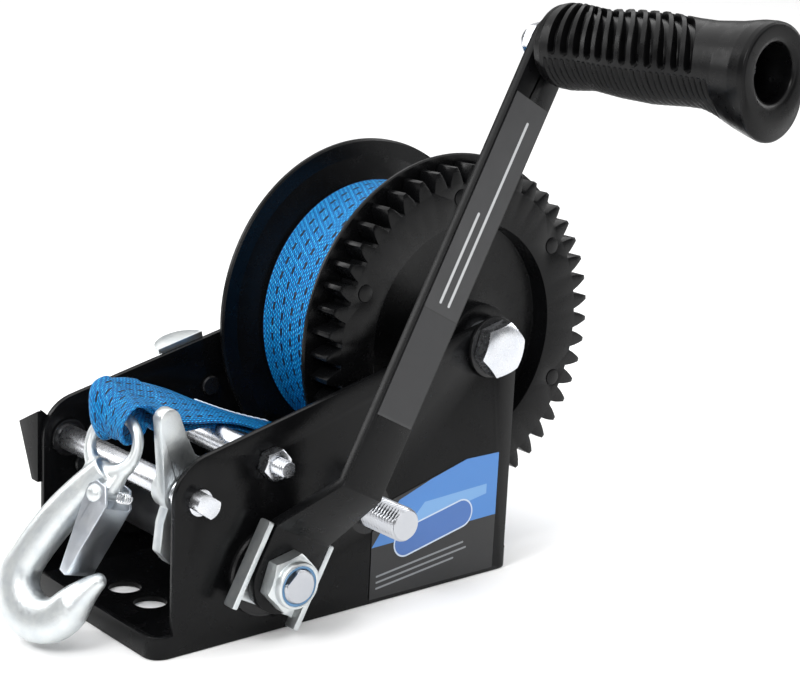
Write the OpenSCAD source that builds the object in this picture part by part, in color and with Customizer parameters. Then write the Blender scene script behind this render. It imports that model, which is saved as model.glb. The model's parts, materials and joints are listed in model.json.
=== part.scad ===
// Two-speed boat trailer winch with strap, hook and crank.
// Origin: centre of the mounting face, straight below the drum axle. +Z is up, the strap pulls
// towards -X, and the crank is on the -Y side.

/* [Frame] */
// Distance over the outside of the two side plates
frame_w = 114; // [112:1:120]
// Thickness of the pressed sheet
sheet = 3; // [2.5:0.5:3]
// Front face of the base lip, ahead of the drum axle
base_front = 189.5; // [188:1:200]
// Rear face of the base lip, behind the drum axle
base_rear = 22; // [21:1:30]
// Height of the base lip
lip_h = 10; // [8:1:12]
// Height of the drum axle above the mounting face
axle_h = 116.5; // [116.5:0.5:120]
// Rise of the side plates' top edge for each unit of length
top_slope = 0.25; // [0.22:0.01:0.27]

/* [Drum] */
// Radius of the strap roll
roll_r = 67; // [55:1:68]
// Width of the strap
strap_w = 50; // [45:1:50]
// Radius of the far flange
far_flange_r = 86.6; // [80:0.2:88]
// Radius of the flange beside the gear
near_flange_r = 88.6; // [86:0.2:88.6]

/* [Crank] */
// Length of the crank from shaft to grip bolt
crank_len = 264; // [200:1:280]
// Lean of the crank above the horizontal at rest
crank_angle = 62.3; // [50:0.1:75]
// Width of the crank arm
arm_w = 24; // [20:1:26]
// Thickness of the crank arm
arm_t = 5; // [4:0.5:6]
// Sideways step of the crank arm
arm_step = 24.2; // [22:0.1:28]
// Length of the grip
grip_len = 120; // [100:1:140]

/* [Hook] */
// Radius of the middle of the hook's bowl
bowl_r = 16; // [15:0.5:18]
// Radius of the stock at the bottom of the bowl
bowl_stock = 10.8; // [9:0.2:11]

/* [Hidden] */
$fn = 64;

// Gear trains: teeth and modules
drum_teeth = 48;
counter_teeth = 24;
pinion_teeth = 12;
module_1 = 3.32;
module_2 = 3.36;

// Clearances
run_gap = 0.05;
fit_gap = 0.1;

// Places along Y
near_out = -frame_w / 2;
near_in = near_out + sheet;
far_out = frame_w / 2;
far_in = far_out - sheet;
gear_y = [-37, -25];
near_flange_y = [-24.5, -22.1];
far_flange_y = 45.7;
strap_y = [-12, -12 + strap_w];
pair_y = [-50.6, -44.2];
pinion_y = [-38, -25.4];
ratchet_y = [-43.6, -36.6];
pawl_y = [-43.6, -37.2];
flange_t = 2.4;

// Places in the side view: [x, z]
centre_1 = module_1 * (drum_teeth + pinion_teeth) / 2;
centre_2 = module_2 * (counter_teeth + pinion_teeth) / 2;
angle_1 = 223.7;
angle_2 = 197;
drum_at = [0, axle_h];
counter_at = drum_at + centre_1 * [cos(angle_1), sin(angle_1)];
input_at = counter_at + centre_2 * [cos(angle_2), sin(angle_2)];
pawl_at = [-166.5, axle_h - 48];
tie_at = [-130, axle_h - 36];
front_rivet_at = [-158, axle_h - 62];
rear_rivet_at = [-86, axle_h - 34];

grip_at = input_at + crank_len * [cos(crank_angle), sin(crank_angle)];

// Frame outline
wall_front = base_front - 10;
wall_rear = 17;
corner_r = 8;
apex_r = 15;
nose_r = 20;
hole_front_x = -157;
hole_rear_x = -30;
hole_y = [-4, 18];
hole_r = 8;

// Shafts and fasteners
axle_r = 8;
sleeve_r = 11;
shaft_r = 8;
counter_spacer_r = 9.5;
tie_r = 4;
tie_spacer_r = 6.5;
pin_r = 6;
stud_end = -83.5;
input_end = -82;
shaft_far_end = 66;
groove_r = 5;
groove_y = [far_out + 0.1, far_out + 3.1];
bush_r = 12;

// Teeth
pressure = 20;
drum_tip = 85;
drum_root = 76.4;
counter_tip = 43.2;
counter_root = 36.2;
pinion_1_tip = 21.5;
pinion_1_root = 13.8;
pinion_2_tip = 23.2;
pinion_2_root = 16.4;
drum_play = -1.4;
pinion_play = 3;
pair_play = 0.8;
ratchet_teeth = 12;
ratchet_tip = 25.5;
ratchet_root = 20;
ratchet_turn = 14;

// Crank
yoke_gap = 35;
yoke_t = 2.5;
yoke_y = -62.4;
arm_y = yoke_y - yoke_t;
foot_w = 33;
step_start = 22;
step_end = 50;
arm_top_y = arm_y - arm_step;
nut_h = 11;
grip_y = arm_top_y - arm_t - 1.6;
grip_bolt_r = 5;
grip_bore_r = 5.1;
grip_cup_r = 12;
grip_cup_depth = 22;
grip_lobe = 6;
label_s = [82, 236];

// Hook: its own frame has +X along the face, +Y out of the face and +Z up
eye_at = [-188, -22.3, axle_h - 25.6];
hook_turn = -70;
hook_tilt = 20;
eye_ring_r = 12.5;
eye_stock = 2.6;
eye_drop = 2;
bowl_at = [-17.5, -67];
latch_at = [2.5, -23.5];
latch_half_w = 9.5;
latch_pin_r = 2.5;

// Strap from the drum to the eye: [centre point, width, turn of the width about Z, fall of the near edge]
lead_route = [
  [[-21.5, 13, axle_h - 66.2], 44, 0, 0],
  [[-55, 12, axle_h - 54.8], 43, 0, 0],
  [[-90, 9, axle_h - 42.4], 40, 1, 1],
  [[-118, 3.5, axle_h - 30.5], 36, 3, 1],
  [[-136, -2.5, axle_h - 24], 30, 6, 5],
  [[-152, -8.5, axle_h - 20.5], 25, 10, 12],
  [[-166, -14, axle_h - 17], 20, 14, 14],
  [[-177, -18.2, axle_h - 12.5], 16, 18, 7],
  [[-183, -20.2, axle_h - 8.6], 14, 20, 0]
];
lead_t = 2.6;

function arc(c, r, a0, a1, n) =
  [for (i = [0:n]) c + r * [cos(a0 + (a1 - a0) * i / n), sin(a0 + (a1 - a0) * i / n)]];

// Involute angle at radius r, in degrees, for base radius rb
function inv_angle(r, rb) = r <= rb ? 0 : sqrt(pow(r / rb, 2) - 1) * 180 / PI - acos(rb / r);

// Half the angle that a tooth covers at radius r; play is the arc taken off each flank
function half_tooth(r, teeth, mod, play) =
  let (rp = mod * teeth / 2, rb = rp * cos(pressure))
  90 / teeth - play / 2 / rp * 180 / PI + inv_angle(rp, rb) - inv_angle(r, rb);

// Outline of a spur gear with the first tooth centred on +X
function gear_outline(teeth, mod, tip, root, play) =
  let (rb = mod * teeth / 2 * cos(pressure))
  let (low = max(rb, root + 0.6))
  let (radii = [root, low, low + (tip - low) * 0.35, low + (tip - low) * 0.7, tip])
  [for (t = [0:teeth - 1], side = [-1, 1], i = [0:4])
    let (r = side < 0 ? radii[i] : radii[4 - i])
    let (a = 360 / teeth * t + side * half_tooth(r, teeth, mod, play))
    r * [cos(a), sin(a)]];

// Turns the side view's 2D shape into a plate between two places along Y
module plate(y0, y1) {
  translate([0, y1, 0]) rotate([90, 0, 0]) linear_extrude(y1 - y0) children();
}

// Round bar along Y
module bar(at, y0, y1, r) {
  translate([at[0], y1, at[1]]) rotate([90, 0, 0]) cylinder(h = y1 - y0, r = r);
}

// Tube along Y
module tube(at, y0, y1, r, bore) {
  difference() {
    bar(at, y0, y1, r);
    bar(at, y0 - 1, y1 + 1, bore);
  }
}

// Hexagonal bar along Y, af across its flats
module hex_bar(at, y0, y1, af, turn = 0) {
  translate([at[0], y1, at[1]]) rotate([90, turn, 0]) cylinder(h = y1 - y0, r = af / sqrt(3), $fn = 6);
}

// Body of revolution about a Y axis: points are [radius, y]
module turned(at, points) {
  translate([at[0], 0, at[1]]) rotate([-90, 0, 0]) rotate_extrude() polygon([for (p = points) [p[0], p[1]]]);
}

module rounded_rect(x0, x1, half_w, r) {
  polygon(concat(
    arc([x1 - r, half_w - r], r, 0, 90, 6), arc([x0 + r, half_w - r], r, 90, 180, 6),
    arc([x0 + r, -half_w + r], r, 180, 270, 6), arc([x1 - r, -half_w + r], r, 270, 360, 6)));
}

// ---- Frame ----

module side_outline() {
  lean = atan(top_slope);
  apex = [wall_rear - apex_r, drum_at[1] - 1.7];
  top_at_0 = apex[1] - top_slope * apex[0] + apex_r / cos(lean);
  nose_x = -wall_front + nose_r;
  nose = [nose_x, top_slope * nose_x + top_at_0 - nose_r / cos(lean)];
  polygon(concat(
    [[wall_rear, 1]], arc(apex, apex_r, 0, 90 + lean, 10), arc(nose, nose_r, 90 + lean, 180, 8),
    [[-wall_front, 1]]));
}

module side_plate(y0) {
  difference() {
    plate(y0, y0 + sheet) side_outline();
    bar(drum_at, y0 - 1, y0 + sheet + 1, axle_r + fit_gap);
    bar(counter_at, y0 - 1, y0 + sheet + 1, bush_r);
    bar(input_at, y0 - 1, y0 + sheet + 1, bush_r);
    bar(tie_at, y0 - 1, y0 + sheet + 1, tie_r + fit_gap);
    bar(pawl_at, y0 - 1, y0 + sheet + 1, pin_r + fit_gap);
  }
}

module winch_frame() {
  color("#26282b") {
    difference() {
      linear_extrude(lip_h) rounded_rect(-base_front, base_rear, far_out, corner_r);
      translate([0, 0, sheet]) linear_extrude(lip_h)
        rounded_rect(-base_front + sheet, base_rear - sheet, far_in, corner_r - sheet);
      for (x = [hole_front_x, hole_rear_x], y = hole_y) {
        translate([x, y, -1]) cylinder(h = sheet + 2, r = hole_r);
      }
    }
    side_plate(near_out);
    difference() {
      side_plate(far_in);
      for (at = [front_rivet_at, rear_rivet_at]) bar(at, far_in - 1, far_out + 1, 3);
    }
  }
}

module axle_bolt() {
  color("#c4c8cc") {
    bar(drum_at, near_out - 2, far_out + 15, axle_r);
    hex_bar(drum_at, near_out - 2 - 8, near_out - 2, 24, 14);
  }
}

module axle_washers() {
  color("#1c1d1f") tube(drum_at, near_out - 2, near_out, 15, axle_r + fit_gap);
  color("#b9bdc1") tube(drum_at, far_out, far_out + 2, 15, axle_r + fit_gap);
}

module axle_nut() {
  color("#b9bdc1") difference() {
    hex_bar(drum_at, far_out + 2, far_out + 13, 24, 5);
    bar(drum_at, far_out + 1, far_out + 14, axle_r);
  }
}

module axle_sleeve() {
  color("#8e9296") tube(drum_at, near_in, far_in, sleeve_r, axle_r + fit_gap);
}

module tie_bolt() {
  color("#c4c8cc") {
    bar(tie_at, near_out - 13.5, far_out, tie_r);
    hex_bar(tie_at, far_out, far_out + 5.3, 13);
  }
}

module tie_bolt_nut() {
  color("#c4c8cc") difference() {
    hex_bar(tie_at, near_out - 6.5, near_out, 13, 12);
    bar(tie_at, near_out - 8, near_out + 1, tie_r);
  }
}

module tie_spacer() {
  color("#a9adb1") tube(tie_at, near_in, far_in, tie_spacer_r, tie_r + fit_gap);
}

module pawl_pin() {
  color("#b4b8bc") {
    bar(pawl_at, near_out - 0.5, far_out - 0.2, pin_r);
    intersection() {
      bar(pawl_at, near_out - 6.5, near_out, pin_r);
      translate([pawl_at[0], near_out - 4, pawl_at[1]]) rotate([0, 35, 0]) cube([20, 12, 8.6], center = true);
    }
  }
}

module pawl_pin_clips() {
  color("#55585c") for (y = [near_in + 0.3, far_in - 1.5]) tube(pawl_at, y, y + 1.2, 9, pin_r);
}

module pawl_spring() {
  color("#9da1a5") tube(pawl_at, near_in + 2, pawl_y[0] - 0.5, 8.4, pin_r + 0.3);
}

module input_bush_near() {
  color("#1a1b1d") turned(input_at, [
    [shaft_r + run_gap, near_out - 5], [15, near_out - 5], [16, near_out - 4.2], [16, near_out - 2.4],
    [20, near_out - 2.4], [21, near_out - 1.6], [21, near_out], [bush_r, near_out], [bush_r, near_in],
    [shaft_r + run_gap, near_in]]);
}

module input_bush_far() {
  color("#1a1b1d") turned(input_at, [
    [shaft_r + run_gap, far_in - 2], [16, far_in - 2], [16, far_in], [bush_r, far_in],
    [bush_r, far_out], [shaft_r + run_gap, far_out]]);
}

module counter_bushes() {
  color("#1a1b1d") {
    turned(counter_at, [
      [shaft_r + run_gap, near_out], [bush_r, near_out], [bush_r, near_in], [14, near_in],
      [14, near_in + 1.6], [shaft_r + run_gap, near_in + 1.6]]);
    turned(counter_at, [
      [shaft_r + run_gap, far_in - 2], [16, far_in - 2], [16, far_in], [bush_r, far_in],
      [bush_r, far_out], [shaft_r + run_gap, far_out]]);
  }
}

module lock_rivets() {
  color("#b4b8bc") for (at = [front_rivet_at, rear_rivet_at]) {
    bar(at, far_in - 1.5, far_out + 4, 3);
    bar(at, far_in - 1.5, far_in, 5);
    bar(at, far_out + 3.1, far_out + 5, 6);
  }
}

module side_label() {
  color("#3b6fb0") plate(near_out - 0.4, near_out)
    polygon([[-70, 2], [9, 2], [9, 62], [-12, 62], [-58, 50], [-58, 48], [-70, 36]]);
}

// Faces that join n rings of m points, with both ends closed
function skin(n, m) = concat(
  [[for (k = [m - 1:-1:0]) k]],
  [for (i = [0:n - 2], k = [0:m - 1]) let (j = (k + 1) % m)
    each [[m * i + k, m * i + j, m * (i + 1) + j], [m * i + k, m * (i + 1) + j, m * (i + 1) + k]]],
  [[for (k = [0:m - 1]) m * (n - 1) + k]]);

// Corner points of the strap's cross-section at each stop of the route
function lead_points() = [for (s = lead_route, k = [0:3])
  let (side = (k == 0 || k == 3) ? -1 : 1, up = k < 2 ? -1 : 1)
  s[0] + side * (s[1] * [-sin(s[2]), cos(s[2]), 0] + [0, 0, s[3]]) / 2 + [0, 0, up * lead_t / 2]];

// Side view of the strap's loop through the hook's eye
module loop_outline(r) {
  translate([7, 0]) circle(r = r);
  translate([12, 0]) circle(r = r);
  translate([7, -r]) square([5, 2 * r]);
}

module strap_lead() {
  n = len(lead_route);
  color("#2f8fd4") {
    polyhedron(points = lead_points(), faces = skin(n, 4), convexity = 4);
    in_hook_frame() translate([7, 0, 0]) rotate([0, -90, 0]) linear_extrude(14) difference() {
      loop_outline(8.4);
      loop_outline(6);
    }
  }
}

// ---- Drum ----

module drum_core() {
  color("#2b2d30") difference() {
    bar(drum_at, near_flange_y[1] + 2, far_flange_y - 6, 32);
    bar(drum_at, near_flange_y[1] + 1, far_flange_y - 5, 28);
  }
}

module far_flange() {
  y = far_flange_y;
  color("#232528") turned(drum_at, [
    [sleeve_r + run_gap, y - 6], [62, y - 6], [78, y - 2], [far_flange_r - 1, y - 2], [far_flange_r, y - 1.4],
    [far_flange_r, y + 0.2], [far_flange_r - 0.6, y + 0.4], [78, y + 0.4], [62, y - 3.6], [20, y - 3.6],
    [18, far_in - 0.5], [sleeve_r + run_gap, far_in - 0.5]]);
}

module near_flange() {
  y = near_flange_y;
  color("#232528") turned(drum_at, [
    [sleeve_r + run_gap, y[0]], [near_flange_r - 0.6, y[0]], [near_flange_r, y[0] + 0.6],
    [near_flange_r, y[1] - 0.6], [near_flange_r - 0.6, y[1]], [40, y[1]], [34, y[1] + 2],
    [sleeve_r + run_gap, y[1] + 2]]);
}

// Centre of drum rivet k in the side view
function rivet_at(k) = drum_at + 69.7 * [cos(35.6 + 60 * k), sin(35.6 + 60 * k)];

module drum_gear() {
  color("#1d1e20") difference() {
    union() {
      difference() {
        plate(gear_y[0], gear_y[1]) translate(drum_at)
          polygon(gear_outline(drum_teeth, module_1, drum_tip, drum_root, drum_play));
        bar(drum_at, gear_y[0] - 1, gear_y[0] + 10.5, 57);
      }
      bar(drum_at, gear_y[0] - 12, gear_y[0] + 11, 19);
    }
    bar(drum_at, gear_y[0] - 20, gear_y[1] + 1, sleeve_r + run_gap);
    for (k = [0:5]) bar(rivet_at(k), gear_y[0] - 1, gear_y[1] + 1, 4);
  }
}

module drum_rivets() {
  color("#1d1e20") for (k = [0:5]) bar(rivet_at(k), gear_y[0] - 0.3, near_flange_y[0], 4);
}

module strap_roll() {
  color("#2f8fd4") tube(drum_at, strap_y[0], strap_y[1], roll_r, 32);
}

// ---- Second shaft ----

module counter_shaft() {
  color("#c0c4c8") {
    difference() {
      bar(counter_at, stud_end, groove_y[0], shaft_r);
      for (side = [0, 180]) translate([counter_at[0], 0, counter_at[1]]) rotate([0, side - 45, 0])
        translate([-20, stud_end - 1, 6.2]) cube([40, 22.5, 10]);
    }
    bar(counter_at, groove_y[0], groove_y[1], groove_r);
    bar(counter_at, groove_y[1], shaft_far_end, shaft_r - 1);
  }
}

// The pinion's gap meets the drum gear's tooth on the line between their centres
module counter_pinion() {
  lag = angle_1 % (360 / drum_teeth);
  turn = angle_1 + 180 + lag * drum_teeth / pinion_teeth + 180 / pinion_teeth;
  color("#8e9296") difference() {
    plate(pinion_y[0], pinion_y[1]) translate(counter_at) rotate(turn)
      polygon(gear_outline(pinion_teeth, module_1, pinion_1_tip, pinion_1_root, pinion_play));
    bar(counter_at, pinion_y[0] - 1, pinion_y[1] + 1, shaft_r);
  }
}

module counter_gear() {
  color("#8e9296") difference() {
    union() {
      plate(pair_y[0], pair_y[1]) translate(counter_at)
        polygon(gear_outline(counter_teeth, module_2, counter_tip, counter_root, pair_play));
      bar(counter_at, pair_y[1], pinion_y[0], 13);
    }
    bar(counter_at, pair_y[0] - 1, pinion_y[0] + 1, shaft_r);
  }
}

module counter_spacer() {
  color("#8e9296") tube(counter_at, pinion_y[1], far_in - 2.4, counter_spacer_r, shaft_r);
}

// ---- Crank shaft ----

module input_shaft() {
  color("#c0c4c8") {
    difference() {
      bar(input_at, input_end, groove_y[0], shaft_r);
      translate([input_at[0], 0, input_at[1]]) rotate([0, -47, 0])
        translate([-20, input_end - 1, 6.4]) cube([40, 4, 10]);
    }
    bar(input_at, groove_y[0], groove_y[1], groove_r);
    bar(input_at, groove_y[1], shaft_far_end, shaft_r - 1);
  }
}

module input_pinion() {
  lag = angle_2 % (360 / counter_teeth);
  turn = angle_2 + 180 + lag * counter_teeth / pinion_teeth + 180 / pinion_teeth;
  color("#8e9296") difference() {
    plate(pair_y[0], pair_y[1]) translate(input_at) rotate(turn)
      polygon(gear_outline(pinion_teeth, module_2, pinion_2_tip, pinion_2_root, pair_play));
    bar(input_at, pair_y[0] - 1, pair_y[1] + 1, shaft_r);
  }
}

// Ratchet tooth: a straight-sided block with sloped flanks, the same both ways
function ratchet_outline() = [
  for (t = [0:ratchet_teeth - 1], p = [[-0.30, 0], [-0.17, 1], [0.17, 1], [0.30, 0]])
  let (a = 360 / ratchet_teeth * (t + p[0]), r = p[1] > 0 ? ratchet_tip : ratchet_root)
  r * [cos(a), sin(a)]];

module ratchet_wheel() {
  color("#a9adb1") difference() {
    plate(ratchet_y[0], ratchet_y[1]) translate(input_at) rotate(ratchet_turn) polygon(ratchet_outline());
    bar(input_at, ratchet_y[0] - 1, ratchet_y[1] + 1, shaft_r);
  }
}

module input_spacer() {
  color("#a9adb1") tube(input_at, ratchet_y[1], far_in - 2.4, 10.5, shaft_r);
}

// Places a shape drawn along the crank, with +X from the shaft to the grip and +Z outwards
module along_crank(y) {
  translate([input_at[0], y, input_at[1]]) rotate([90, -crank_angle, 0]) children();
}

module crank_yoke() {
  color("#c9cdd1") difference() {
    union() {
      along_crank(yoke_y) translate([-15.5, -yoke_gap / 2 - 3, 0]) cube([34.5, yoke_gap + 6, yoke_t]);
      for (side = [-1, 1]) {
        along_crank(yoke_y) translate([-20, side * (yoke_gap / 2 + 1.5) - 1.5, 0]) cube([41, 3, 7]);
      }
    }
    bar(input_at, arm_y - 1, yoke_y + 1, shaft_r);
  }
}

// Side profile of the arm: [along, out]
module arm_profile() {
  polygon([
    [-foot_w / 2, 0], [step_start, 0], [step_end, arm_step], [crank_len + arm_w / 2, arm_step],
    [crank_len + arm_w / 2, arm_step + arm_t], [step_end - 2, arm_step + arm_t],
    [step_start - 2, arm_t], [-foot_w / 2, arm_t]]);
}

// Outline of the arm seen from outside
module arm_outline() {
  polygon(concat(
    arc([0, 0], foot_w / 2, 90, 270, 12), [[step_start, -foot_w / 2], [step_end, -arm_w / 2]],
    arc([crank_len, 0], arm_w / 2, -90, 90, 10), [[step_end, arm_w / 2], [step_start, foot_w / 2]]));
}

module crank_arm() {
  color("#202225") difference() {
    along_crank(arm_y) intersection() {
      linear_extrude(arm_step + arm_t + 1) arm_outline();
      translate([0, 40, 0]) rotate([90, 0, 0]) linear_extrude(80) arm_profile();
    }
    bar(input_at, arm_y - arm_t - 1, arm_y + 1, shaft_r);
    bar(grip_at, arm_top_y - arm_t - 1, arm_top_y + 1, grip_bolt_r + fit_gap);
  }
}

module crank_nut() {
  y = arm_y - arm_t;
  color("#c9cdd1") difference() {
    union() {
      hex_bar(input_at, y - 8, y, 24, 12);
      bar(input_at, y - nut_h, y - 8, 10.8);
    }
    bar(input_at, y - nut_h - 1, y + 1, shaft_r);
    bar(input_at, y - nut_h - 1, y - nut_h + 2, 9.4);
  }
}

module nut_insert() {
  y = arm_y - arm_t - nut_h;
  color("#2f6fae") tube(input_at, y + 0.3, y + 2, 9.4, shaft_r);
}

module arm_label() {
  color("#3a3c40") along_crank(arm_top_y - arm_t) linear_extrude(0.3)
    translate([label_s[0], -arm_w / 2 + 1]) square([label_s[1] - label_s[0], arm_w - 2]);
}

module grip_bolt() {
  color("#c0c4c8") {
    bar(grip_at, grip_y - grip_len + grip_cup_depth, arm_top_y + 9, grip_bolt_r);
    bar(grip_at, grip_y - grip_len + grip_cup_depth - 6, grip_y - grip_len + grip_cup_depth, 8.5);
  }
}

module grip_nut() {
  y = arm_top_y;
  color("#c9cdd1") difference() {
    union() {
      hex_bar(grip_at, y, y + 8, 17, 10);
      turned(grip_at, [
        [0, y + 8], [7.6, y + 8], [6.8, y + 11], [4.6, y + 13.6], [2, y + 14.6], [0, y + 14.8]]);
    }
    bar(grip_at, y - 1, y + 9, grip_bolt_r);
  }
}

module grip_washer() {
  color("#b9bdc1") tube(grip_at, arm_top_y - arm_t - 1.4, arm_top_y - arm_t, 10, grip_bolt_r + fit_gap);
}

module crank_grip() {
  y0 = grip_y;
  y1 = grip_y - grip_len;
  color("#1a1b1d") difference() {
    union() {
      turned(grip_at, [
        [0, y0], [16, y0], [18, y0 - 2], [19, y0 - 12], [17.5, y0 - 26], [19, y0 - 42], [19.4, y0 - 60],
        [17.8, y0 - 78], [17.8, y0 - 88], [19, y0 - 102], [20.6, y1 + 6], [20, y1], [0, y1]]);
      turned(grip_at - [0, grip_lobe], [
        [0, y1 + 26], [12, y1 + 26], [18, y1 + 16], [21, y1 + 6], [20.5, y1], [0, y1]]);
    }
    bar(grip_at, y1 - 1, y0 + 1, grip_bore_r);
    bar(grip_at, y1 - 1, y1 + grip_cup_depth, grip_cup_r);
  }
}

// ---- Pawl ----

// Outline about the pin, hanging at rest: thumb lever up, shoulder towards the drum, V tip down
module pawl_outline() {
  polygon(concat(
    arc([-7, 34], 5.2, 200, 20, 8), [[1.5, 26], [6, 17], [15, 11], [16, 7]],
    arc([0, 0], 9.6, 20, -35, 5), [[6.5, -17], [3, -26], [-6, -31.5], [-11.5, -25], [-10, -12]],
    arc([0, 0], 9.6, 215, 170, 4)));
}

module pawl() {
  color("#c9cdd1") difference() {
    union() {
      plate(pawl_y[0], pawl_y[1]) translate(pawl_at) pawl_outline();
      bar(pawl_at, pawl_y[1] - 1, pawl_y[1] + 6, 8.8);
    }
    bar(pawl_at, pawl_y[0] - 1, pawl_y[1] + 7, pin_r + run_gap);
  }
}

// ---- Shaft lock levers ----

// Flat lever from its rivet to a shaft groove, with a notch that swings clear of the groove
module lock_lever(rivet, shaft, notch_side) {
  reach = norm(shaft - rivet);
  aim = atan2(shaft[1] - rivet[1], shaft[0] - rivet[0]);
  difference() {
    union() {
      plate(far_out + 0.3, far_out + 2.8) {
        translate(rivet) circle(r = 9);
        translate(rivet) rotate(aim) translate([0, -7]) square([reach + 4, 14]);
        translate(rivet) rotate(aim) translate([reach, 0]) circle(r = 11);
        children();
      }
    }
    bar(rivet, far_out - 1, far_out + 4, 3 + run_gap);
    plate(far_out - 1, far_out + 4) translate(rivet) rotate(aim)
      polygon(concat(
        arc([0, 0], reach - groove_r - 0.6, 0, notch_side * 30, 8),
        arc([0, 0], reach + groove_r + 0.6, notch_side * 30, 0, 8),
        arc([reach, 0], groove_r + 0.6, 0, -notch_side * 180, 12)));
  }
}

module front_lock_lever() {
  x = -wall_front + 1;
  color("#26282b") {
    lock_lever(front_rivet_at, input_at, 1)
      polygon([
        front_rivet_at + [0, 9], front_rivet_at + [0, -9], [x, axle_h - 69], [x, axle_h - 34]]);
    translate([x, 0, 0]) rotate([0, -90, 0]) linear_extrude(2.5) polygon([
      [axle_h - 34, far_out + 0.3], [axle_h - 43, far_out + 18], [axle_h - 69, far_out + 6],
      [axle_h - 69, far_out + 0.3]]);
  }
}

module rear_lock_lever() {
  tab = [-101.5, axle_h - 10.5];
  color("#c9cdd1") {
    lock_lever(rear_rivet_at, counter_at, -1)
      polygon([rear_rivet_at + [8, 4], rear_rivet_at + [-8, -4], tab + [-12, -3.2], tab + [12, 2.8]]);
    translate([tab[0], far_out + 0.3, tab[1] - 1.5]) rotate([0, -atan(top_slope), 0]) intersection() {
      cylinder(h = 2.5, r = 13);
      translate([-20, 0, -1]) cube([40, 20, 5]);
    }
  }
}

// ---- Hook ----

module in_hook_frame() {
  translate(eye_at) rotate([-hook_tilt, 0, hook_turn]) children();
}

// Middle line of the hook's stock in its face, from the neck to the point: [x, z, radius]
function hook_line() =
  let (low = bowl_at + bowl_r * [cos(150), sin(150)], neck = [0, -15], bend = [-21, -35])
  let (lip = bowl_at + bowl_r * [cos(330), sin(330)])
  concat(
    [for (i = [0:7]) let (t = i / 8, p = (1 - t) * (1 - t) * neck + 2 * t * (1 - t) * bend + t * t * low)
      [p[0], p[1], 7.4 + 1.2 * sin(120 * t)]],
    [for (i = [0:14]) let (u = i / 14, a = 150 + 180 * u)
      [bowl_at[0] + bowl_r * cos(a), bowl_at[1] + bowl_r * sin(a), 8.5 + (bowl_stock - 8.5) * sin(160 * u)]],
    [for (i = [1:5]) let (a = 60 - 2 * i)
      [lip[0] + 4.4 * i * cos(a), lip[1] + 4.4 * i * sin(a), 9.2 - 1.25 * i]]);

// Stock of changing radius along a line of [x, z, radius] in the hook's face, no thicker than flat across it
module stock(line, flat, m = 16) {
  n = len(line);
  rings = [for (i = [0:n - 1])
    let (d = line[min(i + 1, n - 1)] - line[max(i - 1, 0)])
    let (l = norm([d[0], d[1]]), side = [-d[1] / l, d[0] / l])
    for (k = [0:m - 1]) let (c = line[i][2] * cos(360 * k / m), w = min(line[i][2], flat) * sin(360 * k / m))
      [line[i][0] + side[0] * c, w, line[i][1] + side[1] * c]];
  polyhedron(points = rings, faces = skin(n, m), convexity = 6);
}

module hook() {
  color("#cfd3d7") in_hook_frame() {
    difference() {
      stock(hook_line(), 8.5);
      translate([latch_at[0], 12, latch_at[1]]) rotate([90, 0, 0]) cylinder(h = 24, r = latch_pin_r);
    }
    translate([0, 0, -eye_drop]) rotate([90, 0, 0]) rotate_extrude($fn = 48)
      translate([eye_ring_r, 0]) circle(r = eye_stock, $fn = 16);
  }
}

// Folded sheet that straddles the neck and closes the hook's mouth
module hook_latch() {
  outline = [
    [-2.4, -25.5], [-1.2, -20], [2.5, -18], [7.6, -20], [10, -28], [-1.6, -58], [-3.2, -60.4],
    [-6.4, -58.6], [-4.4, -42]];
  inside = [[-40, -10], [20, -10], [20, -29], [8.2, -29], [-3.4, -59.5], [-4.5, -72], [-30, -80]];
  color("#b9bdc1") in_hook_frame() difference() {
    translate([0, latch_half_w, 0]) rotate([90, 0, 0]) linear_extrude(2 * latch_half_w) polygon(outline);
    translate([0, latch_half_w - 1.5, 0]) rotate([90, 0, 0])
      linear_extrude(2 * latch_half_w - 3) polygon(inside);
    translate([latch_at[0], 12, latch_at[1]]) rotate([90, 0, 0])
      cylinder(h = 24, r = latch_pin_r + run_gap);
  }
}

module latch_rivet() {
  color("#c9cdd1") in_hook_frame() translate([latch_at[0], 11, latch_at[1]]) rotate([90, 0, 0])
    cylinder(h = 22, r = latch_pin_r);
}

module latch_spring() {
  color("#9da1a5") in_hook_frame() translate([latch_at[0] + 9, 3, latch_at[1]]) rotate([90, 0, 0])
    cylinder(h = 6, r = 2.6);
}

winch_frame();
axle_bolt();
axle_washers();
axle_nut();
axle_sleeve();
tie_bolt();
tie_bolt_nut();
tie_spacer();
pawl_pin();
pawl_pin_clips();
pawl_spring();
input_bush_near();
input_bush_far();
counter_bushes();
lock_rivets();
side_label();
strap_lead();
drum_core();
far_flange();
near_flange();
drum_gear();
drum_rivets();
strap_roll();
counter_shaft();
counter_pinion();
counter_gear();
counter_spacer();
input_shaft();
input_pinion();
ratchet_wheel();
input_spacer();
crank_yoke();
crank_arm();
crank_nut();
nut_insert();
arm_label();
grip_bolt();
grip_nut();
grip_washer();
crank_grip();
pawl();
front_lock_lever();
rear_lock_lever();
hook();
hook_latch();
latch_rivet();
latch_spring();
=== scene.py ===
"""Two-speed boat trailer winch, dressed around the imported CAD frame."""
import json
import math

import bmesh
import bpy
import numpy as np
from mathutils import Matrix, Vector


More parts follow.
